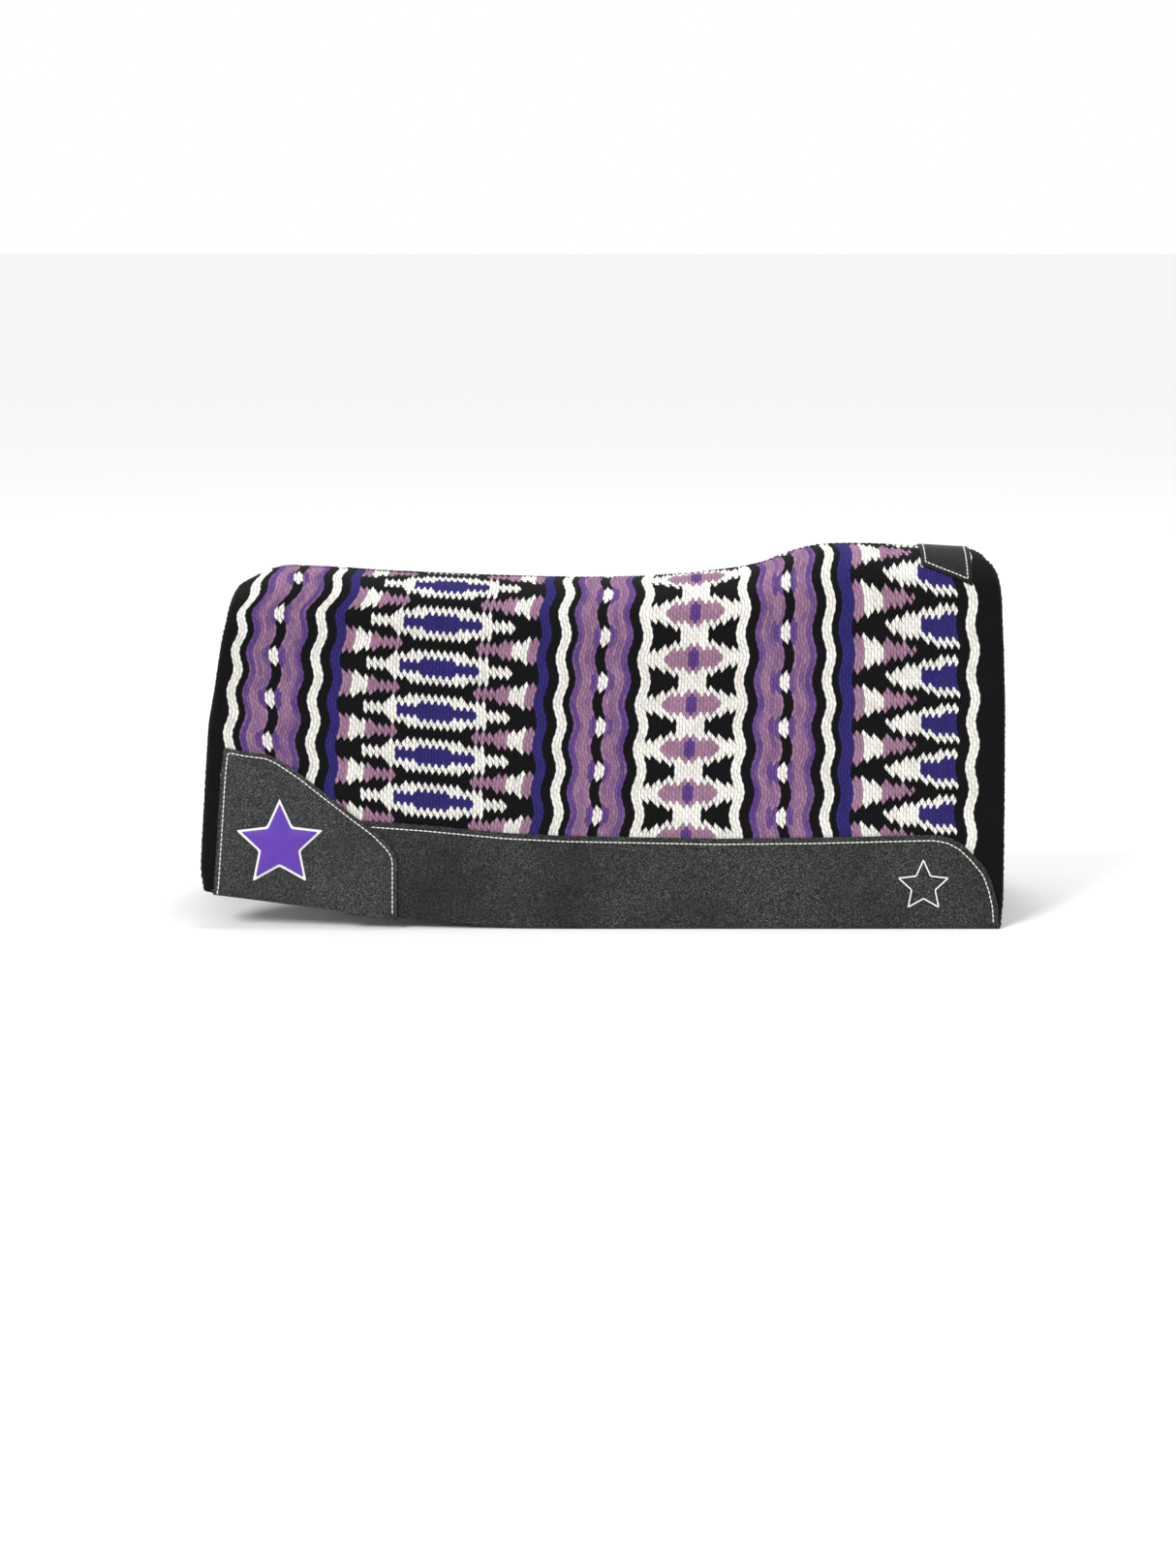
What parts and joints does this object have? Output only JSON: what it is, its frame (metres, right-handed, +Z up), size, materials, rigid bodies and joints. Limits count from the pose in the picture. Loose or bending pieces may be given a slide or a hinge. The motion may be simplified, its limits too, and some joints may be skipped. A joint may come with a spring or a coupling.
{
  "type": "saddle pad",
  "caption": "Contoured western saddle pad folded over its spine, with a patterned woven wool top, felt layers, leather wear strips, corner and withers leathers and stitched star emblems.",
  "frame": {"origin": "on the floor plane, midway between the two flaps and midway between the front and rear ends", "axes": "+X towards the front (withers), +Y towards the pad's left side, +Z up"},
  "size_m": [0.8115, 0.2448, 0.3756],
  "materials": {
    "woven_wool": "matte handwoven wool, geometric stripes and lozenges",
    "core_felt": "matte pressed felt",
    "underside_felt": "matte fuzzy wool felt",
    "pebbled_leather": "fine pebbled grain, soft sheen",
    "corner_leather": "pebbled grain, soft sheen",
    "smooth_leather": "smooth, glossy",
    "white_thread": "twisted bonded thread",
    "emblem_border": "satin stitch",
    "emblem_purple": "satin stitch",
    "spine_tape": "matte woven tape",
    "seam_thread": "twisted thread"
  },
  "bodies": {
    "spine": {"spine_tape": "spine_tape", "spine_seam_thread": "seam_thread"},
    "right_half": {"right_woven_top": "woven_wool", "right_felt_core": "core_felt", "right_underside_felt": "underside_felt", "right_wear_leather": "pebbled_leather", "right_wear_leather_stitching": "white_thread", "right_rear_corner_leather": "corner_leather", "right_rear_corner_stitching": "white_thread", "right_withers_leather": "smooth_leather", "right_withers_stitching": "white_thread", "right_rear_emblem_backing": "emblem_border", "right_rear_emblem": "emblem_purple", "right_front_emblem": "emblem_border"},
    "left_half": {"left_woven_top": "woven_wool", "left_felt_core": "core_felt", "left_underside_felt": "underside_felt", "left_wear_leather": "pebbled_leather", "left_wear_leather_stitching": "white_thread", "left_rear_corner_leather": "corner_leather", "left_rear_corner_stitching": "white_thread", "left_withers_leather": "smooth_leather", "left_withers_stitching": "white_thread", "left_rear_emblem_backing": "emblem_border", "left_rear_emblem": "emblem_purple", "left_front_emblem": "emblem_border"}
  },
  "joints": [
    {"name": "right_half_fold", "type": "hinge", "parent": "spine", "child": "right_half", "pos_m": [0, 0, 0.38], "axis": [-1, 0, 0], "range_deg": [0, 30], "stiffness_Nm_per_rad": 12},
    {"name": "left_half_fold", "type": "hinge", "parent": "spine", "child": "left_half", "pos_m": [0, 0, 0.38], "axis": [1, 0, 0], "range_deg": [0, 30], "stiffness_Nm_per_rad": 12}
  ]
}
